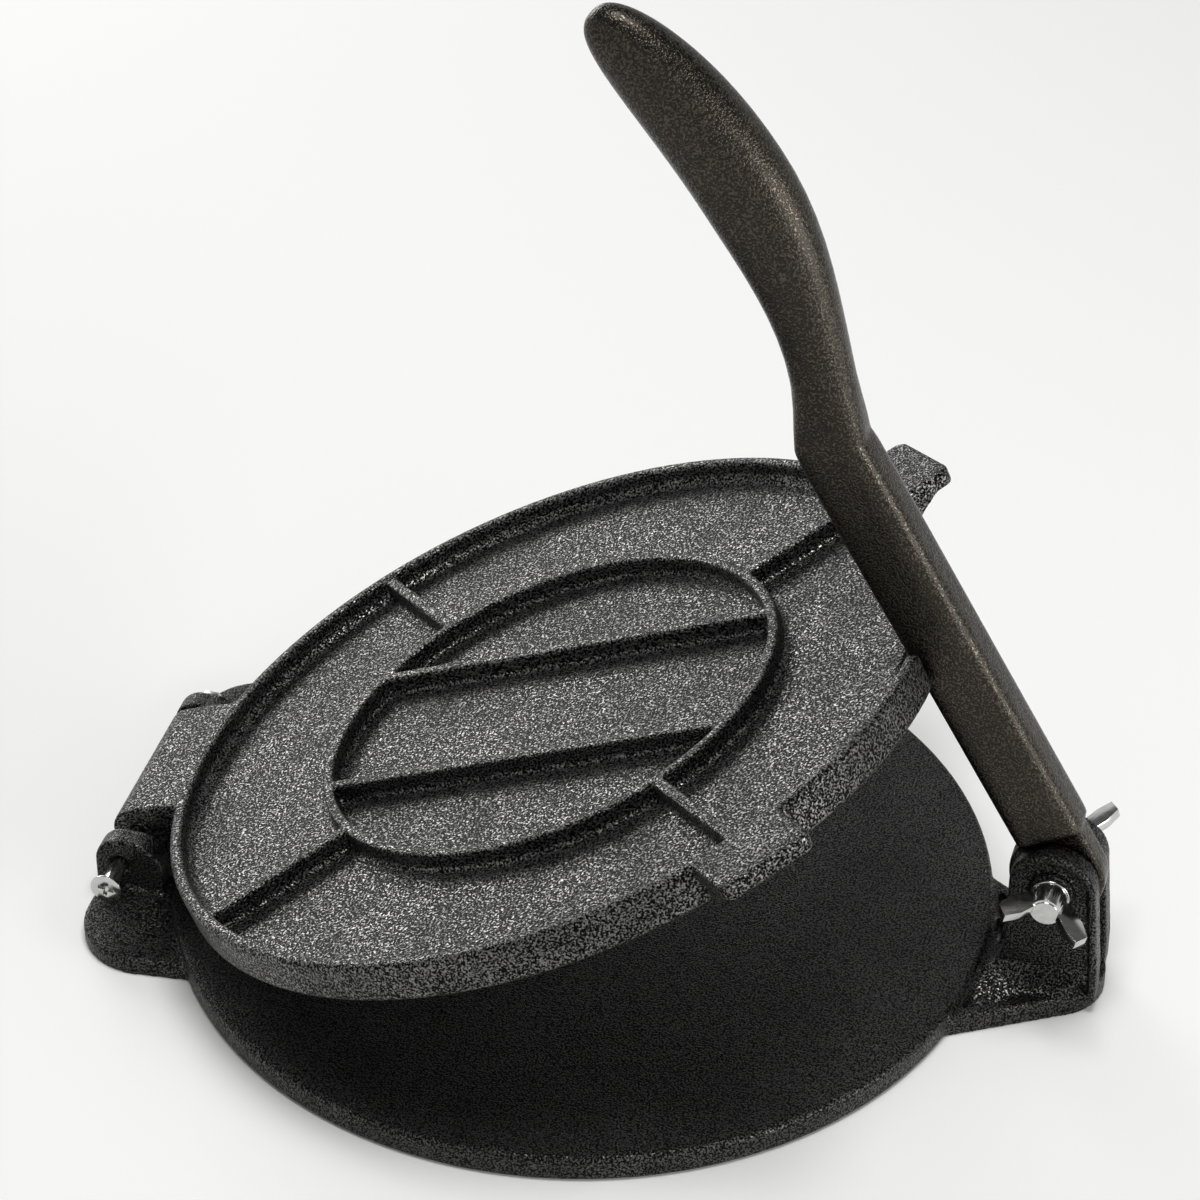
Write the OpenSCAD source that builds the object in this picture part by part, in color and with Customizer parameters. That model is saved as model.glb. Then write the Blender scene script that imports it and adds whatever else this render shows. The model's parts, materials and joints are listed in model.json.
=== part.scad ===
// Cast-iron tortilla press: a round base, a hinged pressing plate and a long folding lever.
//
// Millimetres. X runs from the hinge at the left to the lever at the right, Y to the back
// and Z up. The origin is the centre of the base's underside. The press is drawn open,
// with the plate raised and the lever leaning in the notch of the plate's rim.
// Every size below belongs to the finished casting or fastener.

/* [Pressing plate] */
// Outer diameter of the pressing plate
plate_d = 300; // [260:1:330]
// Height of the plate from its pressing face to the top of its rim
plate_h = 15.9; // [13:0.1:20]
// Thickness of the plate's floor
floor_t = 8; // [6:0.5:10]
// Width of the rim around the floor
rim_w = 5; // [4:0.5:8]
// How far the tops of the ribs stay below the top of the rim
rib_drop = 1; // [0.5:0.5:3]
// Width of the straight ribs
rib_w = 4.5; // [3:0.5:7]
// Outer diameter of the ring rib
ring_d = 178; // [150:1:200]
// Width of the ring rib
ring_w = 4; // [3:0.5:7]
// Distance between the middles of the two parallel ribs
rib_spacing = 66; // [50:1:90]
// Size of the small slope at the outer edges of the castings
edge = 1.2; // [0.6:0.1:2]

/* [Lift tabs] */
// Width of each lift tab
tab_w = 36; // [26:1:44]
// How far a lift tab stands out from the rim
tab_out = 21; // [14:1:28]
// Thickness of a lift tab
tab_t = 6.5; // [5:0.5:9]
// Radius of a lift tab's outer corners
tab_corner = 4; // [2:0.5:6]
// Thickness of the gussets under a lift tab
gusset_t = 5; // [4:0.5:7]

/* [Lever notch] */
// Width of the notch that lets the lever into the rim
notch_w = 24; // [22:1:30]
// Depth of the notch, measured in from the rim
notch_deep = 11.5; // [10:0.5:16]

/* [Base] */
// How far the base stands out past the pressing plate, on average
base_lip = 2.5; // [1:0.5:8]
// How far the shut plate sits towards the lever, from the middle of the base
plate_shift = 2.8; // [0:0.1:3.5]
// Height of the base's pressing face
base_h = 10.6; // [9.6:0.1:14]
// Depth of the relief under the base
relief = 5; // [2:0.5:6]
// Width of the foot ring and of the ribs under the base
foot_w = 9; // [6:0.5:14]
// Gap between the two pressing faces when the press is shut
face_gap = 0.3; // [0.2:0.1:1]

/* [Hinge] */
// How far the hinge axis lies outside the plate
hinge_out = 16.7; // [15:0.1:20]
// Height of the hinge axis above the plate's pressing face
hinge_up = 6.9; // [6.7:0.1:9]
// Outer radius of the hinge barrel and lugs
hinge_r = 10; // [8:0.1:10.4]
// Distance between the outer faces of the hinge lugs
hinge_span = 94; // [84:1:110]
// Thickness of a hinge lug
hinge_lug_t = 9; // [7:0.5:12]
// Side play between the barrel and each lug, on average
barrel_play = 5.7; // [4.5:0.1:8]
// How far the lugs and their tongue stand forward of the press's middle
lug_shift = 4; // [0:0.1:4]
// Width of the tongue that carries the hinge lugs
tongue_w = 170; // [140:1:180]
// How much each side of the tongue draws in towards the round base
tongue_taper = 3; // [0:0.5:6]
// Thickness of the tongue
tongue_t = 7; // [5:0.5:7.4]
// Radius of the tongue's outer corners
tongue_corner = 25; // [10:1:30]
// How far the tongue stands out from the hinge axis
tongue_out = 8.5; // [8:0.1:20]

/* [Lever bracket] */
// How far the lever's pivot lies outside the base
pivot_out = 24.5; // [22:0.5:30]
// Height of the lever's pivot
pivot_z = 53; // [46:0.5:62]
// Outer radius of the lever lugs
lug_r = 16; // [12:0.5:17]
// Thickness of a lever lug
lug_t = 9; // [7:0.5:12]
// How deep the outer face of a lever lug is sunk behind its raised edge
lug_sunk = 3; // [1:0.2:4]
// Width of that raised edge, along the nose and over the top
lug_edge = 3; // [2:0.5:4]
// Radius of the bracket's nose, around the pivot
nose_r = 20; // [18.5:0.5:24]
// Height of the bracket's raised edge
bead_h = 9; // [7:0.5:10]
// Width of the bracket's raised edge
bead_w = 4; // [3:0.5:6]
// Depth of the trough between a lug and the raised edge
trough = 4; // [2:0.5:5]
// Radius of the cove that rises from the trough to the foot of a lug
cove_r = 34; // [28:1:40]

/* [Lever] */
// Thickness of the lever's root between the lugs
root_t = 9.8; // [8:0.2:14]
// Side play between the root and each lug
root_play = 0.4; // [0.2:0.1:1]
// Radius of the lever's round root
root_r = 17.5; // [16:0.5:19]
// Length of the straight arm, from the pivot to the heel
arm_len = 192; // [160:1:200]
// Depth of the arm, in the plane in which the lever swings
arm_d = 26.2; // [22:0.1:32]
// Thickness of the arm
arm_t = 18; // [14:0.5:19]
// How far the arm's middle lies behind the pivot
arm_back = 5.9; // [4:0.1:9]
// Distance from the pivot to the shoulder where the arm gets its full thickness
shoulder = 17.2; // [16.6:0.2:20]
// Length of the grip beyond the heel
grip_len = 174; // [140:1:200]
// Height of the grip's arch
grip_rise = 18.5; // [8:0.5:24]
// Depth of the neck between arm and grip
neck_d = 22.6; // [20:0.1:30]
// Depth of the grip at its belly
belly_d = 34; // [28:0.5:40]
// Thickness of the grip at its belly
belly_t = 25; // [20:0.5:30]

/* [Fasteners] */
// Diameter of the hinge screw and of the lever bolt
bolt_d = 6; // [5:0.5:8]
// Play between a bolt and its bore, on the diameter
bore_play = 0.1; // [0.04:0.02:0.2]
// Diameter of the hinge screw's countersunk head
screw_head_d = 12; // [10:0.5:14]
// How far the hinge screw stands out of the front lug
screw_out = 15; // [8:0.5:22]
// Outer diameter of a washer
washer_d = 14; // [12:0.5:18]
// Thickness of a washer
washer_t = 1.6; // [1:0.2:2]
// Width across flats of the hinge nut
nut_af = 10; // [9:0.5:13]
// Height of the hinge nut
nut_h = 5.2; // [4:0.1:7]
// How far a bolt stands out of its nut
bolt_end = 0.6; // [0.2:0.1:4]
// How far the wing nut stands off its washer
nut_slack = 0.6; // [0.2:0.2:4]
// Height of a wing hub
hub_h = 9; // [7:0.5:12]
// Diameter of a wing hub at its foot
hub_d = 13; // [11:0.5:15]
// Distance across the tips of the wings
wing_span = 33; // [30:0.5:36]
// Height of the wings' tips above the hub's foot
wing_h = 19.5; // [17:0.5:22]
// Thickness of a wing
wing_t = 3.2; // [2:0.1:4]

/* [Position] */
// Angle by which the plate is raised
open_angle = 22.8; // [0:0.1:23.5]
// Gap between the lever and the bottom of the notch it leans in
lean_gap = 4; // [0.5:0.5:6]

/* [Hidden] */
$fn = 96;
sliver = 0.01;                  // overlap that joins two shapes of one casting

// Heights
face_z = base_h + face_gap;     // the plate's pressing face, shut
floor_z = face_z + floor_t;
rim_z = face_z + plate_h;
rib_z = rim_z - rib_drop;
hinge_z = face_z + hinge_up;

// Radii and places along X
plate_r = plate_d / 2;
base_r = plate_r + base_lip;
hinge_x = plate_shift - plate_r - hinge_out;
pivot_x = base_r + pivot_out;
notch_x = plate_shift + plate_r - notch_deep;
ring_r = ring_d / 2;
bore_d = bolt_d + bore_play;

// Places along Y
hinge_front = -hinge_span / 2 - lug_shift;
hinge_back = hinge_span / 2 - lug_shift;
barrel_half = hinge_span / 2 - hinge_lug_t - barrel_play;
lug_in = root_t / 2 + root_play;
lug_out = lug_in + lug_t;

// The lever's lean follows from the notch that it leans in: the angle of the line from
// the pivot to the notch's bottom edge, plus what the arm's inner side takes up.
arm_in = arm_d / 2 - arm_back;
notch_dx = notch_x - hinge_x;
notch_dz = floor_z - hinge_z;
notch_at_x = hinge_x + notch_dx * cos(open_angle) - notch_dz * sin(open_angle);
notch_at_z = hinge_z + notch_dx * sin(open_angle) + notch_dz * cos(open_angle);
notch_reach = norm([notch_at_x - pivot_x, notch_at_z - pivot_z]);
lever_lean = atan2(notch_at_z - pivot_z, pivot_x - notch_at_x)
           + asin((arm_in + lean_gap) / notch_reach);

iron = "#2b2b2d";
warm_iron = "#37322d";
zinc = "#c9cbcc";

// ---------------------------------------------------------------- shapes used by several

// A flat outline in the XZ plane, given thickness t towards the front from the plane y
module along_y(y, t) translate([0, y, 0]) rotate([90, 0, 0]) linear_extrude(t) children();

// A round bore or pin along Y, through x and z, from y1 to y2
module round_y(x, z, d, y1, y2)
  translate([x, y2, z]) rotate([90, 0, 0]) cylinder(d = d, h = y2 - y1);

// A disc whose upper and lower outer edges are sloped
module sloped_disc(r, z1, z2)
  rotate_extrude($fn = 180)
    polygon([[0, z1], [r - edge, z1], [r, z1 + edge], [r, z2 - edge], [r - edge, z2], [0, z2]]);

// A ring of rectangular section
module flat_ring(r_out, w, z1, z2)
  rotate_extrude($fn = 180) translate([r_out - w, z1]) square([w, z2 - z1]);

// ---------------------------------------------------------------- base

// Bracket outline around the lever's pivot: a round nose with sides that spread at 30
// degrees and run into the round base. grow makes it larger or, below zero, smaller.
module bracket_outline(grow) {
  r = nose_r + grow;
  spread = 30;
  x1 = pivot_x + r * sin(spread);
  y1 = r * cos(spread);
  x0 = base_r - nose_r;
  y0 = y1 + (x1 - x0) * tan(spread);
  translate([pivot_x, 0]) circle(r);
  polygon([[x0, -y0], [x1, -y1], [x1, y1], [x0, y0]]);
}

// One lever lug, seen from the side: a round top on a foot that flares at both sides
module lever_lug_outline() {
  flare = lug_r / 4;
  low = bead_h - trough;
  nose = pivot_x + nose_r - edge;
  translate([pivot_x, pivot_z]) circle(lug_r);
  polygon([[pivot_x + lug_r, pivot_z], [nose, 2 * bead_h], [nose, low],
           [pivot_x - lug_r - flare, low], [pivot_x - lug_r - flare, base_h + flare / 2],
           [pivot_x - lug_r - flare / 4, base_h + 2 * flare],
           [pivot_x - lug_r, base_h + 5 * flare], [pivot_x - lug_r, pivot_z]]);
}

// Sunk panel on the outer face of a lever lug, seen from the side: it is open towards the
// base, and a round boss for the washer is left in it
module lug_panel_outline() {
  difference() {
    hull() for (shift = [0, -2 * lug_edge]) translate([shift, 0])
      offset(delta = -lug_edge) lever_lug_outline();
    translate([pivot_x, pivot_z]) circle(d = washer_d + 2);
  }
}

// One hinge lug, seen from the side: round around the screw, broader towards the base
module hinge_lug_outline() {
  broad = hinge_r / 2;
  translate([hinge_x, hinge_z]) circle(hinge_r);
  translate([hinge_x + broad, hinge_z - broad / 4]) circle(hinge_r + broad / 4);
  translate([hinge_x - hinge_r, tongue_t - edge])
    square([2 * hinge_r + 1.2 * broad, hinge_z - tongue_t + edge - broad / 4]);
}

// Tongue outline: a strip with round outer corners, reaching into the round base
module tongue_outline() {
  x0 = hinge_x - tongue_out;
  x1 = -sqrt(pow(base_r, 2) - pow(tongue_w / 2, 2)) + foot_w;
  y0 = tongue_w / 2 - tongue_corner;
  y1 = tongue_w / 2 - tongue_taper;
  translate([0, -lug_shift]) {
    translate([x0, -y0]) square([tongue_corner, 2 * y0]);
    polygon([[x0 + tongue_corner, -tongue_w / 2], [x1, -y1], [x1, y1],
             [x0 + tongue_corner, tongue_w / 2]]);
    for (side = [-1, 1]) translate([x0 + tongue_corner, side * y0]) circle(tongue_corner);
  }
}

// Relief under the round base, cut away between the foot ring, the hub and four ribs
module base_relief() {
  difference() {
    translate([0, 0, -1]) cylinder(r = base_r - foot_w, h = relief + 1, $fn = 180);
    translate([0, 0, -2]) cylinder(r = 2 * foot_w, h = relief + 3);
    for (turn = [0, 90]) rotate(turn)
      translate([-base_r, -foot_w / 2, -2]) cube([2 * base_r, foot_w, relief + 3]);
  }
}

// Trough between the lug and the raised edge, on both sides of the bracket
module bracket_trough() {
  translate([0, 0, bead_h - trough]) linear_extrude(trough + 1) difference() {
    bracket_outline(-bead_w);
    circle(base_r + bead_w / 2, $fn = 180);
    translate([pivot_x - 4 * lug_r, -lug_out]) square([8 * lug_r, 2 * lug_out]);
  }
}

// Coves in the troughs: each rises from the trough's bottom to the sunk face of a lug
module bracket_coves() {
  low = bead_h - trough;
  foot = lug_out - lug_sunk;
  rise = cove_r * 0.3;              // height at which a cove meets its lug
  reach = sqrt(pow(cove_r, 2) - pow(cove_r - rise, 2));
  intersection() {
    translate([0, 0, low - sliver]) linear_extrude(rise + sliver) difference() {
      bracket_outline(-bead_w / 2);
      circle(base_r + bead_w / 2, $fn = 180);
    }
    rotate([90, 0, 90]) linear_extrude(pivot_x + nose_r) for (side = [-1, 1]) difference() {
      translate([side * (foot + reach / 2 - sliver), low + rise / 2])
        square([reach, rise + 1], center = true);
      translate([side * (foot + reach), low + cove_r]) circle(cove_r);
    }
  }
}

module base_casting() {
  color(iron) difference() {
    union() {
      sloped_disc(base_r, 0, base_h);
      linear_extrude(tongue_t) tongue_outline();
      linear_extrude(bead_h) bracket_outline(0);
      for (y = [hinge_front + hinge_lug_t, hinge_back]) along_y(y, hinge_lug_t) hinge_lug_outline();
      for (y = [-lug_in, lug_out]) along_y(y, lug_t) lever_lug_outline();
    }
    base_relief();
    bracket_trough();
    for (y = [lug_sunk - lug_out, lug_out + 1]) along_y(y, lug_sunk + 1) lug_panel_outline();
    round_y(hinge_x, hinge_z, bore_d, -hinge_span, hinge_span);
    round_y(pivot_x, pivot_z, bore_d, -hinge_span, hinge_span);
  }
  color(iron) bracket_coves();
}

// ---------------------------------------------------------------- pressing plate

// Dish of the plate: its floor, its rim and the small slope between them
module plate_dish() {
  r_in = plate_r - rim_w;
  rotate_extrude($fn = 180)
    polygon([[0, face_z], [plate_r - edge, face_z], [plate_r, face_z + edge],
             [plate_r, rim_z - edge], [plate_r - edge, rim_z], [r_in + edge / 2, rim_z],
             [r_in, rim_z - edge], [r_in, floor_z + 2 * edge], [r_in - 2 * edge, floor_z],
             [0, floor_z]]);
}

// Ribs of the plate: a ring, two parallel ribs across it and four spokes out to the rim
module plate_ribs() {
  up = rib_z - floor_z + sliver;
  half = sqrt(pow(ring_r, 2) - pow(rib_spacing / 2 + rib_w / 2, 2)) - ring_w / 4;
  flat_ring(ring_r, ring_w, floor_z - sliver, rib_z);
  for (side = [-1, 1])
    translate([-half, side * rib_spacing / 2 - rib_w / 2, floor_z - sliver])
      cube([2 * half, rib_w, up]);
  for (turn = [45 : 90 : 315]) rotate(turn)
    translate([ring_r - ring_w / 2, -rib_w / 2, floor_z - sliver])
      cube([plate_r - rim_w / 2 - ring_r + ring_w / 2, rib_w, up]);
}

// A lift tab flush with the rim, standing out at the given turn, with a gusset at each end
module lift_tab(turn) {
  x0 = plate_r - rim_w / 2;
  x1 = plate_r + tab_out;
  foot = rim_z - tab_t - tab_out / 2;
  rotate(turn) {
    translate([0, 0, rim_z - tab_t]) linear_extrude(tab_t) {
      translate([x0, -tab_w / 2]) square([x1 - x0 - tab_corner, tab_w]);
      translate([x0, tab_corner - tab_w / 2]) square([x1 - x0, tab_w - 2 * tab_corner]);
      for (side = [-1, 1]) translate([x1 - tab_corner, side * (tab_w / 2 - tab_corner)])
        circle(tab_corner);
    }
    for (y = [gusset_t - tab_w / 2 + edge, tab_w / 2 - edge]) along_y(y, gusset_t)
      polygon([[x0, rim_z - tab_t + sliver], [plate_r + tab_out * 2 / 3, rim_z - tab_t + sliver],
               [plate_r, max(foot, face_z + edge)], [x0, max(foot, face_z + edge)]]);
  }
}

// Barrel of the hinge, with the shelf that joins it to the rim. The shelf slopes from the
// top of the barrel to the top of the rim, and stays above the pressing face.
module plate_barrel() {
  axis_x = -plate_r - hinge_out;
  shelf_in = sqrt(pow(plate_r - rim_w / 2, 2) - pow(barrel_half, 2));
  under = 20;                       // angle below the axis at which the shelf's underside starts
  along_y(barrel_half, 2 * barrel_half) {
    translate([axis_x, hinge_z]) circle(hinge_r);
    polygon([[axis_x, hinge_z + hinge_r], [axis_x + hinge_r / 2, hinge_z + hinge_r],
             [-shelf_in, rim_z], [-shelf_in, face_z + edge], [-plate_r, face_z + edge],
             [axis_x + hinge_r * cos(under), hinge_z - hinge_r * sin(under)],
             [axis_x, hinge_z]]);
  }
}

// The whole plate, shut, around its own middle
module plate_shut() {
  axis_x = -plate_r - hinge_out;
  difference() {
    union() {
      plate_dish();
      plate_ribs();
      for (turn = [-45, 45]) lift_tab(turn);
      difference() {
        plate_barrel();
        translate([0, 0, floor_z]) cylinder(r = plate_r - rim_w, h = plate_h, $fn = 180);
      }
    }
    translate([plate_r - notch_deep, -notch_w / 2, face_z - 1])
      cube([plate_r, notch_w, plate_h + 2]);
    round_y(axis_x, hinge_z, bore_d, -hinge_span, hinge_span);
  }
}

module pressing_plate() {
  color(iron) translate([hinge_x, 0, hinge_z]) rotate([0, -open_angle, 0])
    translate([plate_r + hinge_out, 0, -hinge_z]) plate_shut();
}

// ---------------------------------------------------------------- lever

// The lever is shaped lying down: it points to -X from the pivot, its back faces up.
// Its blade is a row of rounded sections, from the shoulder to the tip of the grip.
lever_end = arm_len + grip_len;
neck_s = arm_len + grip_len * 0.15;      // where the neck is slimmest
belly_s = arm_len + grip_len * 0.58;     // where the grip is fullest
knee = 14;                               // length over which the arm turns into the grip
points_round = 28;                       // points around one section

function ease(t) = (1 - cos(180 * min(max(t, 0), 1))) / 2;
function blend(a, b, t) = a + (b - a) * ease(t);
function along(a, b, s) = (s - a) / (b - a);
function tip_share(s) = pow(max(1 - pow(max(along(belly_s, lever_end, s), 0), 2.4), 0), 0.36);
function section_d(s) = s < neck_s ? blend(arm_d, neck_d, along(arm_len - knee / 2, neck_s, s))
                                   : blend(neck_d, belly_d, along(neck_s, belly_s, s)) * tip_share(s);
function section_t(s) = blend(arm_t, belly_t, along(arm_len, belly_s, s)) * tip_share(s);
// Squareness of a section: high on the arm, low on the grip, where 2 is an ellipse
function section_n(s) = blend(5, 2.3, along(arm_len - knee, neck_s, s));
function back_of(s) = s < arm_len ? arm_back
  : arm_back + 4 * grip_rise * along(arm_len, lever_end, s) * (1 - along(arm_len, lever_end, s));
function slope_of(s) = ease(along(arm_len - knee, arm_len + knee, s))
  * atan(4 * grip_rise * (1 - 2 * along(arm_len, lever_end, max(s, arm_len))) / grip_len);
function round_power(v, n) = sign(v) * pow(abs(v), 2 / n);
function section_ring(s) = [for (i = [0 : points_round - 1])
  let (a = 360 * (i + 0.5) / points_round,
       u = section_d(s) / 2 * round_power(cos(a), section_n(s)),
       v = section_t(s) / 2 * round_power(sin(a), section_n(s)),
       k = slope_of(s))
  [-(s - u * sin(k)), v, back_of(s) + u * cos(k)]];

// Places of the sections: far apart on the straight arm, close together on the grip
arm_steps = [for (s = [shoulder : (arm_len - knee - shoulder) / 3 : arm_len - knee - 1]) s];
knee_steps = [for (i = [0 : 7]) arm_len - knee + i * 2 * knee / 8];
grip_start = arm_len + knee;
grip_steps = [for (i = [0 : 26]) grip_start + (lever_end - grip_start) * sin(90 * i / 26.5)];
steps = concat(arm_steps, knee_steps, grip_steps);

module lever_blade() {
  rings = [for (s = steps) section_ring(s)];
  count = len(rings);
  last = (count - 1) * points_round;
  points = [for (ring = rings) for (p = ring) p];
  sides = [for (k = [0 : count - 2]) for (i = [0 : points_round - 1])
    let (j = (i + 1) % points_round, a = k * points_round, b = a + points_round)
    [[a + i, b + i, b + j], [a + i, b + j, a + j]]];
  polyhedron(points = points, faces = concat(
    [[for (i = [0 : points_round - 1]) i]],
    [for (pair = sides) for (f = pair) f],
    [[for (i = [points_round - 1 : -1 : 0]) last + i]]));
}

// Root of the lever: a round boss, and the cheek that carries it into the arm
module lever_root() {
  along_y(root_t / 2, root_t) {
    circle(root_r);
    translate([-shoulder - arm_d / 2, -arm_in + edge])
      square([shoulder + arm_d / 2, arm_in + root_r - edge]);
  }
}

module press_lever() {
  color(warm_iron) translate([pivot_x, 0, pivot_z]) rotate([0, lever_lean, 0]) difference() {
    union() {
      lever_blade();
      lever_root();
    }
    round_y(0, 0, bore_d, -root_t, root_t);
  }
}

// ---------------------------------------------------------------- hinge fasteners

module hinge_screw() {
  y_head = hinge_front - screw_out;
  y_end = hinge_back + washer_t + nut_h + bolt_end;
  cone = (screw_head_d - bolt_d) / 2;
  land = 0.6;                       // cylindrical edge of the head
  cross = screw_head_d / 2;         // length of the cross recess
  color(zinc) difference() {
    translate([hinge_x, y_head, hinge_z]) rotate([-90, 0, 0]) {
      cylinder(d = screw_head_d, h = land);
      translate([0, 0, land]) cylinder(d1 = screw_head_d, d2 = bolt_d, h = cone);
      translate([0, 0, land + cone]) cylinder(d = bolt_d, h = y_end - y_head - land - cone);
    }
    for (turn = [10, 100]) translate([hinge_x, y_head, hinge_z]) rotate([0, turn, 0])
      cube([cross, cone, cross / 4], center = true);
  }
}

module washer(x, z, y) {
  color(zinc) difference() {
    round_y(x, z, washer_d, y, y + washer_t);
    round_y(x, z, bore_d, y - 1, y + washer_t + 1);
  }
}

module hinge_washer() washer(hinge_x, hinge_z, hinge_back);

module hinge_nut() {
  y = hinge_back + washer_t;
  color(zinc) difference() {
    translate([hinge_x, y + nut_h, hinge_z]) rotate([90, 0, 0])
      cylinder(d = nut_af / cos(30), h = nut_h, $fn = 6);
    round_y(hinge_x, hinge_z, bore_d, y - 1, y + nut_h + 1);
  }
}

// ---------------------------------------------------------------- lever fasteners

// A hub with two wings, standing on the XY plane, with its axis along Z. The wings slant
// outwards and are cut off square at their tips. The hub ends in a low round boss.
module wings() {
  r = wing_span / 2;
  boss = 0.5;                       // height of the boss
  cylinder(d1 = hub_d, d2 = hub_d * 0.84, h = hub_h - boss);
  cylinder(d = hub_d * 0.7, h = hub_h);
  for (turn = [0, 180]) rotate([0, 0, turn]) translate([0, wing_t / 2, 0]) rotate([90, 0, 0])
    linear_extrude(wing_t)
      polygon([[hub_d / 4, edge], [hub_d / 2, edge], [r * 0.82, wing_h * 0.44],
               [r, wing_h * 0.76], [r * 0.8, wing_h], [r * 0.5, wing_h * 0.78],
               [hub_d / 4, hub_h - boss - edge]]);
}

// Wings seen along the bolt, with their foot at y, turned by a, facing the front or the back
module wings_at(y, a, front)
  translate([pivot_x, y, pivot_z]) rotate([0, a, 0]) rotate([front ? 90 : -90, 0, 0]) wings();

// Wing screw: its head is in front, and its end stands a little out of the wing nut behind
module lever_bolt() {
  y_head = -lug_out - washer_t;
  y_end = lug_out + washer_t + nut_slack + hub_h + bolt_end;
  color(zinc) {
    round_y(pivot_x, pivot_z, bolt_d, y_head - hub_h / 2, y_end);
    wings_at(y_head, 14, true);
  }
}

module wing_nut() {
  y = lug_out + washer_t + nut_slack;
  color(zinc) difference() {
    wings_at(y, -17, false);
    round_y(pivot_x, pivot_z, bore_d, y - 1, y + 2 * hub_h);
  }
}

module front_washer() washer(pivot_x, pivot_z, -lug_out - washer_t);

module rear_washer() washer(pivot_x, pivot_z, lug_out);

// ---------------------------------------------------------------- the press

base_casting();
pressing_plate();
press_lever();
hinge_screw();
hinge_washer();
hinge_nut();
lever_bolt();
front_washer();
rear_washer();
wing_nut();
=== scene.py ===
import json
import math

import bmesh
import bpy
from mathutils import Matrix, Vector

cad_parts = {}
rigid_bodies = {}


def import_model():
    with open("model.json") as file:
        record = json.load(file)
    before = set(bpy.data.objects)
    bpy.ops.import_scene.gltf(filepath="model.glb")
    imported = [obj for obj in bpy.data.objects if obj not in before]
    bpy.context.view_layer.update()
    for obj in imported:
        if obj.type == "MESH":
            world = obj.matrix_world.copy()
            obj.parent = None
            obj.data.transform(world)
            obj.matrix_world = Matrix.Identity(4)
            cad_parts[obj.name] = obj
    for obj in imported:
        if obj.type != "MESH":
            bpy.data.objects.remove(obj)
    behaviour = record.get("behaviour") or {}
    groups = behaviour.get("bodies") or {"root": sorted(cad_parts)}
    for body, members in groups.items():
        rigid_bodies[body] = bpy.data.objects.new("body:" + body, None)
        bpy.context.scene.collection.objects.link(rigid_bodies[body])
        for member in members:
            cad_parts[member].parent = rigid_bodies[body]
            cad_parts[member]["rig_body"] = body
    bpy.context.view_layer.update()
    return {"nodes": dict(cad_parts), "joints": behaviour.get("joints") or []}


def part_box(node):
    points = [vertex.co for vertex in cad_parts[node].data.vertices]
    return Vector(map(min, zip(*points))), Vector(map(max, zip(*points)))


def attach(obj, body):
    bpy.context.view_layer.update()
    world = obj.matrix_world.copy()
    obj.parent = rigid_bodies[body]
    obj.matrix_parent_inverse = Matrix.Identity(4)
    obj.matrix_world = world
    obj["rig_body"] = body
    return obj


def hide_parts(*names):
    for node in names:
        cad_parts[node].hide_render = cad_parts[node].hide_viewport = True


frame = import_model()


# ---------------------------------------------------------------- camera
# The press is seen from the front, a little to the right of the line through hinge and
# lever, and from well above the rim. The long lens keeps the round base nearly true.

scene = bpy.context.scene
MM = 0.001

AZIMUTH, ELEVATION = math.radians(15.86), math.radians(37.08)
DISTANCE = 1547.7 * MM
AIM = Vector((6.44, 0, 138.4)) * MM
FOCAL_MM, SENSOR_MM = 131.0, 36
FARTHEST = 20                         # metres that the camera sees

camera = bpy.data.objects.new("camera", bpy.data.cameras.new("camera"))
scene.collection.objects.link(camera)
camera.data.lens = FOCAL_MM
camera.data.sensor_width = SENSOR_MM
camera.data.clip_end = FARTHEST
away = Vector((math.sin(AZIMUTH) * math.cos(ELEVATION),
               -math.cos(AZIMUTH) * math.cos(ELEVATION), math.sin(ELEVATION)))
camera.location = AIM + DISTANCE * away
camera.rotation_euler = (-away).to_track_quat("-Z", "Y").to_euler()
scene.camera = camera


# ---------------------------------------------------------------- studio
# A white paper floor under the press, and soft lamps: a low wide one at the right that runs
# down the lever, one behind at the left that skims the plate, and one overhead.

def linear(hex_colour):
    """An sRGB colour written as #rrggbb, as the linear values that a shader takes."""
    channels = [int(hex_colour[i:i + 2], 16) / 255 for i in (1, 3, 5)]
    return [c / 12.92 if c <= 0.04045 else ((c + 0.055) / 1.055) ** 2.4
            for c in channels] + [1.0]


def add_node(tree, kind, inputs, **settings):
    """Adds a shader node. An input is given a value, or another node's output to link."""
    node = tree.nodes.new("ShaderNode" + kind)
    for name, value in settings.items():
        setattr(node, name, value)
    for name, value in inputs.items():
        if isinstance(value, bpy.types.NodeSocket):
            tree.links.new(value, node.inputs[name])
        else:
            node.inputs[name].default_value = value
    return node


def softbox(name, place, aim, width, height, watts):
    """An area lamp at place, facing aim. Lengths are in metres."""
    lamp = bpy.data.lights.new(name, "AREA")
    lamp.shape = "RECTANGLE"
    lamp.size, lamp.size_y, lamp.energy = width, height, watts
    holder = bpy.data.objects.new(name, lamp)
    scene.collection.objects.link(holder)
    holder.location = place
    holder.rotation_euler = (Vector(aim) - Vector(place)).to_track_quat("-Z", "Y").to_euler()


softbox("right_softbox", place=(1.5, -0.5, 0.32), aim=(0.15, 0, 0.12),
        width=1.1, height=0.6, watts=13)
softbox("back_softbox", place=(-1.35, 1.35, 0.6), aim=(0, 0, 0.05),
        width=1.3, height=0.6, watts=16)
softbox("overhead_softbox", place=(0.12, -0.16, 1.9), aim=(0.1, -0.05, 0),
        width=0.8, height=0.8, watts=22)

FLOOR_REACH = 4                       # metres from the middle to each side
PAPER_WHITE = "#fafaf9"
PAPER_ROUGHNESS = 0.9

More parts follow.
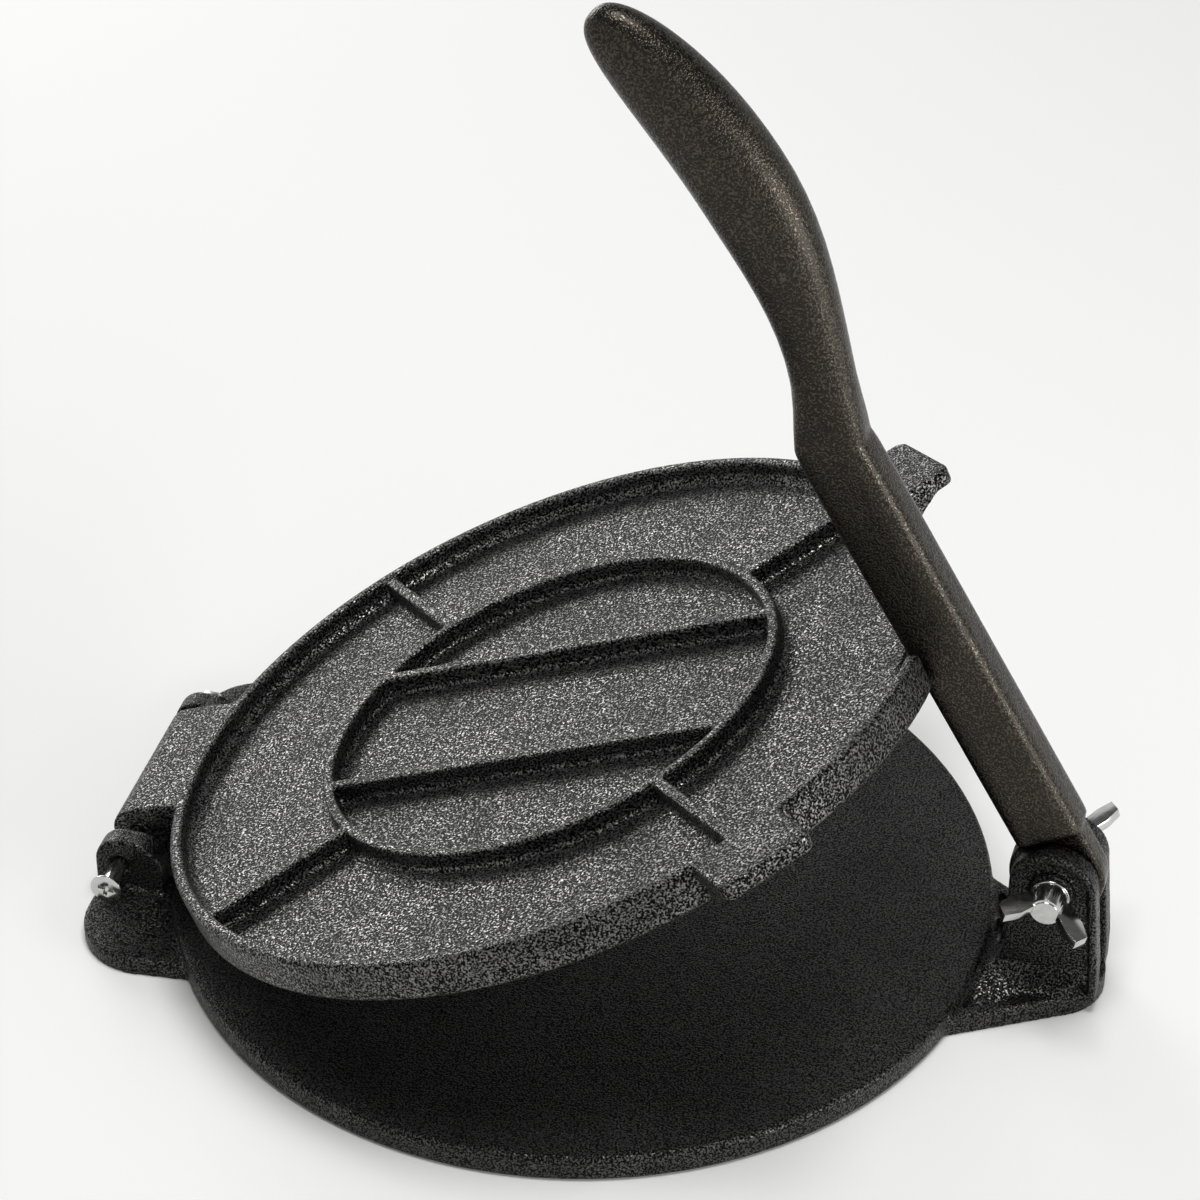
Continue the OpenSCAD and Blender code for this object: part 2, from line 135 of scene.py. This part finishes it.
# Matt white paper: an even pale ground that shows soft shadows and no reflections
paper = bpy.data.materials.new("white paper")
paper.use_nodes = True
paper_shader = paper.node_tree.nodes["Principled BSDF"]
paper_shader.inputs["Base Color"].default_value = linear(PAPER_WHITE)
paper_shader.inputs["Roughness"].default_value = PAPER_ROUGHNESS

sheet = bmesh.new()
bmesh.ops.create_grid(sheet, x_segments=1, y_segments=1, size=FLOOR_REACH)
floor = bpy.data.objects.new("floor", bpy.data.meshes.new("floor"))
sheet.to_mesh(floor.data)
sheet.free()
floor.data.materials.append(paper)
scene.collection.objects.link(floor)

# White walls all round, up to a little above the eye, under a dim ceiling. A height is the
# upward part of the direction in which it is seen, from 0 for level to 1 for straight up.
WALL_HEIGHT, CEILING_HEIGHT = 0.3, 0.5
WALL_LIGHT, CEILING_LIGHT = 0.8, 0.12

world = bpy.data.worlds.new("studio")
scene.world = world
world.use_nodes = True
room = world.node_tree
upward = add_node(room, "SeparateXYZ", {0: add_node(room, "TexCoord", {}).outputs["Generated"]})
level = add_node(room, "MapRange",
                 {"Value": upward.outputs["Z"], "From Min": WALL_HEIGHT,
                  "From Max": CEILING_HEIGHT, "To Min": WALL_LIGHT, "To Max": CEILING_LIGHT},
                 interpolation_type="SMOOTHSTEP")
room.links.new(level.outputs[0], room.nodes["Background"].inputs["Strength"])
room.nodes["Background"].inputs["Color"].default_value = linear("#ffffff")
scene.view_settings.view_transform = "Standard"


# ---------------------------------------------------------------- base casting
# Grey iron, cast in green sand with its tongue, hinge lugs and lever bracket in one piece.
# The sand leaves a pebbled skin and no sharp edge; seasoning oil is baked on it to black.

BASE_VOXEL = 0.8 * MM
BASE_SHARE = 0.29                     # share of the faces that stay, to keep the piece light
BASE_ROUNDING = 5                     # passes of smoothing
SMOOTHING = 0.5                       # how far one pass moves a point towards its neighbours
WELD = 0.001 * MM


def cast_from(node, voxel, rounding, share=1.0, upright=Matrix.Identity(4)):
    """A copy of a node's solid, every edge and corner rounded by the sand. The copy is
    remeshed in the pose that upright turns it to, where its flat faces lie level."""
    mesh = frame["nodes"][node].data.copy()
    mesh.materials.clear()
    loose = bmesh.new()
    loose.from_mesh(mesh)
    bmesh.ops.remove_doubles(loose, verts=loose.verts, dist=WELD)
    loose.to_mesh(mesh)
    loose.free()
    mesh.transform(upright)
    piece = bpy.data.objects.new(node + "_cast", mesh)
    scene.collection.objects.link(piece)
    remesh = piece.modifiers.new("sand", "REMESH")
    remesh.mode = "VOXEL"
    remesh.voxel_size = voxel
    smooth = piece.modifiers.new("rounded", "SMOOTH")
    smooth.factor = SMOOTHING
    smooth.iterations = rounding
    if share < 1:
        piece.modifiers.new("lighter", "DECIMATE").ratio = share
    finished = bpy.data.meshes.new_from_object(
        piece.evaluated_get(bpy.context.evaluated_depsgraph_get()))
    piece.modifiers.clear()
    finished.transform(upright.inverted())
    piece.data = finished
    low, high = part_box(node)
    for vert in finished.vertices:
        vert.co = [min(max(vert.co[i], low[i]), high[i]) for i in range(3)]
    finished.shade_smooth()
    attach(piece, frame["nodes"][node]["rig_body"])
    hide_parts(node)
    return piece


PATCH_MM = 24                         # across a patch that is rubbed more or less
PATCH_DETAIL = 4.0
PATCH_NOISE = (0.3, 0.7)              # the noise at the least and at the most rubbed place
PATCH_RUBBING = (0.7, 1.1)            # and the rubbing there
WAVE_MM, WAVE_STRENGTH = 0.8, 0.6     # how far the skin swells from patch to patch
PEBBLE_NOISE = (0.42, 0.66)           # the noise at a pebble's foot and at its crown


def sand_cast_iron(name, pit_and_shade_hex, crown_and_glint_hex, grain_mm, relief_mm, dull, shine):
    """Bare iron under black seasoning: grain is the distance between its sand pebbles and
    relief their height. Real sand is finer; the grain is drawn coarser, so that it shows.
    Crowns are pale: partly metal rubbed bare and partly a painted glint; they have the roughness
    shine. Pits stay black: partly seasoning and partly painted shade in the hollows; they have
    the roughness dull."""
    iron = bpy.data.materials.new(name)
    iron.use_nodes = True
    tree = iron.node_tree
    shader = tree.nodes["Principled BSDF"]
    place = add_node(tree, "TexCoord", {}).outputs["Object"]
    sand = add_node(tree, "TexNoise", {"Vector": place, "Scale": 1 / (grain_mm * MM),
                                       "Detail": 1.0, "Roughness": 0.5})
    patches = add_node(tree, "TexNoise", {"Vector": place, "Scale": 1 / (PATCH_MM * MM),
                                          "Detail": PATCH_DETAIL})
    pebble = add_node(tree, "MapRange",
                      {"Value": sand.outputs[0], "From Min": PEBBLE_NOISE[0],
                       "From Max": PEBBLE_NOISE[1]}, interpolation_type="SMOOTHSTEP")
    rubbing = add_node(tree, "MapRange",
                       {"Value": patches.outputs[0], "From Min": PATCH_NOISE[0],
                        "From Max": PATCH_NOISE[1], "To Min": PATCH_RUBBING[0],
                        "To Max": PATCH_RUBBING[1]})
    bare_and_glint = add_node(tree, "Math", {0: pebble.outputs[0], 1: rubbing.outputs[0]},
                    operation="MULTIPLY")
    # Pale crowns: partly bare metal and partly a painted glint. Black pits: partly seasoning and
    # partly painted shade in the hollows.
    colour = add_node(tree, "Mix", {0: bare_and_glint.outputs[0], 6: linear(pit_and_shade_hex),
                                    7: linear(crown_and_glint_hex)}, data_type="RGBA")
    rough = add_node(tree, "MapRange", {"Value": bare_and_glint.outputs[0], "To Min": dull,
                                        "To Max": shine})
    waves = add_node(tree, "Bump", {"Height": patches.outputs[0], "Distance": WAVE_MM * MM,
                                    "Strength": WAVE_STRENGTH})
    bumps = add_node(tree, "Bump", {"Height": pebble.outputs[0], "Distance": relief_mm * MM,
                                    "Strength": 1.0, "Normal": waves.outputs[0]})
    tree.links.new(colour.outputs[2], shader.inputs["Base Color"])
    tree.links.new(rough.outputs[0], shader.inputs["Roughness"])
    tree.links.new(bumps.outputs[0], shader.inputs["Normal"])
    shader.inputs["Metallic"].default_value = 1.0
    return iron


# Pits black, partly seasoning and partly painted shade, between dark grey crowns that are partly
# bare metal and partly a painted glint: a black skin with a fine glitter
base_iron = sand_cast_iron("seasoned sand-cast iron, base", pit_and_shade_hex="#121212",
                           crown_and_glint_hex="#5a5958", grain_mm=0.75, relief_mm=0.16,
                           dull=0.5, shine=0.26)

base = cast_from("base_casting", BASE_VOXEL, BASE_ROUNDING, BASE_SHARE)
base.data.materials.append(base_iron)


# ---------------------------------------------------------------- pressing plate
# Grey iron, cast in one piece with its ribs, lift tabs and hinge barrel. It hangs on the
# hinge screw and is lifted by its two tabs.

PLATE_VOXEL = 0.8 * MM
PLATE_SHARE = 0.3
PLATE_ROUNDING = 5

# Its crowns are painted paler than those of the base, as a painted sheen for the light that the
# plate catches: salt and pepper, with hardly a sheen of its own
plate_iron = sand_cast_iron("seasoned sand-cast iron, plate", pit_and_shade_hex="#0e0e0e",
                            crown_and_glint_hex="#7b7a79", grain_mm=0.8, relief_mm=0.2,
                            dull=0.58, shine=0.26)

hinge = next(j for j in frame["joints"] if j["name"] == "plate_hinge")
hinge_at = Vector(hinge["pos_m"])
shut = (Matrix.Translation(hinge_at)
        @ Matrix.Rotation(math.radians(hinge["range_deg"][0]), 4, Vector(hinge["axis"]))
        @ Matrix.Translation(-hinge_at))

plate = cast_from("pressing_plate", PLATE_VOXEL, PLATE_ROUNDING, PLATE_SHARE, shut)
plate.data.materials.append(plate_iron)


# ---------------------------------------------------------------- lever
# Grey iron, cast flat and tumbled, so that it is the smoothest of the castings. It swings
# on the wing screw between the two lugs of the bracket.

LEVER_VOXEL = 0.9 * MM
LEVER_ROUNDING = 14

# Oil baked to a warm brown black on a low, even grain: a soft sheen along the grip
lever_iron = sand_cast_iron("seasoned sand-cast iron, lever", pit_and_shade_hex="#322f2b",
                            crown_and_glint_hex="#534e46", grain_mm=0.8, relief_mm=0.1,
                            dull=0.32, shine=0.22)

lever = cast_from("press_lever", LEVER_VOXEL, LEVER_ROUNDING)
lever.data.materials.append(lever_iron)


# ---------------------------------------------------------------- fasteners
# Cold-formed steel screws, nuts and washers with a bright zinc plate. They join the
# castings: one screw through the hinge, one wing screw and wing nut through the lever.

EDGE_ROUND = 0.3 * MM
FLAT_BELOW = math.radians(1)          # faces that turn less than this are one flat face
EDGE_ABOVE = math.radians(30)         # an edge that turns more than this is rounded
CREASE_ABOVE = math.radians(35)       # and stays a crease in the shading above this

HAZE_MM, HAZE_DETAIL = 2.5, 4.0       # across a cloud in the plating
DIMPLE_MM, DIMPLE_STRENGTH = 0.05, 0.6


def bright_zinc():
    """Bright zinc plate over formed steel: almost white metal with clear reflections, which
    a slight haze and shallow dimples break up."""
    zinc = bpy.data.materials.new("bright zinc plate")
    zinc.use_nodes = True
    tree = zinc.node_tree
    shader = tree.nodes["Principled BSDF"]
    place = add_node(tree, "TexCoord", {}).outputs["Object"]
    haze = add_node(tree, "TexNoise", {"Vector": place, "Scale": 1 / (HAZE_MM * MM),
                                       "Detail": HAZE_DETAIL})
    colour = add_node(tree, "Mix", {0: haze.outputs[0], 6: linear("#acadab"),
                                    7: linear("#d6d6d3")}, data_type="RGBA")
    rough = add_node(tree, "MapRange", {"Value": haze.outputs[0], "To Min": 0.1, "To Max": 0.26})
    dimples = add_node(tree, "Bump", {"Height": haze.outputs[0], "Distance": DIMPLE_MM * MM,
                                      "Strength": DIMPLE_STRENGTH})
    tree.links.new(colour.outputs[2], shader.inputs["Base Color"])
    tree.links.new(rough.outputs[0], shader.inputs["Roughness"])
    tree.links.new(dimples.outputs[0], shader.inputs["Normal"])
    shader.inputs["Metallic"].default_value = 1.0
    return zinc


def formed_from(node):
    """A copy of a fastener's solid with its sharp edges rounded, as cold forming leaves them."""
    mesh = frame["nodes"][node].data.copy()
    mesh.materials.clear()
    steel = bmesh.new()
    steel.from_mesh(mesh)
    bmesh.ops.remove_doubles(steel, verts=steel.verts, dist=WELD)
    bmesh.ops.dissolve_limit(steel, angle_limit=FLAT_BELOW, verts=steel.verts, edges=steel.edges)
    sharp = [e for e in steel.edges if e.is_manifold and e.calc_face_angle(0) > EDGE_ABOVE]
    bmesh.ops.bevel(steel, geom=sharp, affect="EDGES", offset=EDGE_ROUND, segments=2,
                    profile=0.5, material=-1, clamp_overlap=True)
    steel.to_mesh(mesh)
    steel.free()
    mesh.shade_smooth()
    mesh.set_sharp_from_angle(angle=CREASE_ABOVE)
    piece = bpy.data.objects.new(node + "_formed", mesh)
    scene.collection.objects.link(piece)
    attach(piece, frame["nodes"][node]["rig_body"])
    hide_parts(node)
    return piece


zinc = bright_zinc()
for node in ("hinge_screw", "hinge_washer", "hinge_nut", "lever_bolt", "front_washer",
             "rear_washer", "wing_nut"):
    fastener = formed_from(node)
    fastener.data.materials.append(zinc)
